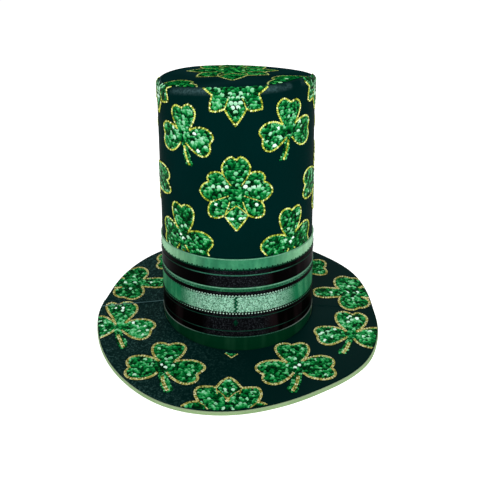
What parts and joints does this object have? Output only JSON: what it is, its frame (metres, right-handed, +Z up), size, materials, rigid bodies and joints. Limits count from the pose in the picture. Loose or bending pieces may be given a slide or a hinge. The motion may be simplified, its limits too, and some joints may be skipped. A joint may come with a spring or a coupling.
{
  "type": "leprechaun hat",
  "caption": "Tall leprechaun hat with a hollow leaning crown, a flat foam brim under printed covers, and a striped ribbon band at the crown's foot.",
  "frame": {"origin": "middle of the hat's footprint, on the surface that it rests on", "axes": "+Z up; the front of the hat faces -Y and its right side, seen from the front, is +X"},
  "size_m": [0.3537, 0.3586, 0.3008],
  "materials": {
    "print_cloth": "smooth dark green-black cloth with a soft sheen",
    "foam": "soft matt foam, cut edge",
    "ribbon_green": "satin ribbon",
    "ribbon_mint": "glitter ribbon",
    "ribbon_dark": "satin ribbon",
    "satin_black": "black satin",
    "sequin_green": "glossy sequins",
    "gold_thread": "shiny gold thread"
  },
  "bodies": {
    "root": {"brim_foam": "foam", "brim_cover_front": "print_cloth", "brim_cover_back": "print_cloth", "crown_side": "print_cloth", "crown_tip": "print_cloth", "band_ribbon_top": "ribbon_green", "band_satin_upper": "satin_black", "band_ribbon_narrow": "ribbon_green", "band_satin_middle": "satin_black", "band_ribbon_mint": "ribbon_mint", "band_satin_lower": "satin_black", "band_ribbon_bottom": "ribbon_dark"}
  },
  "joints": []
}
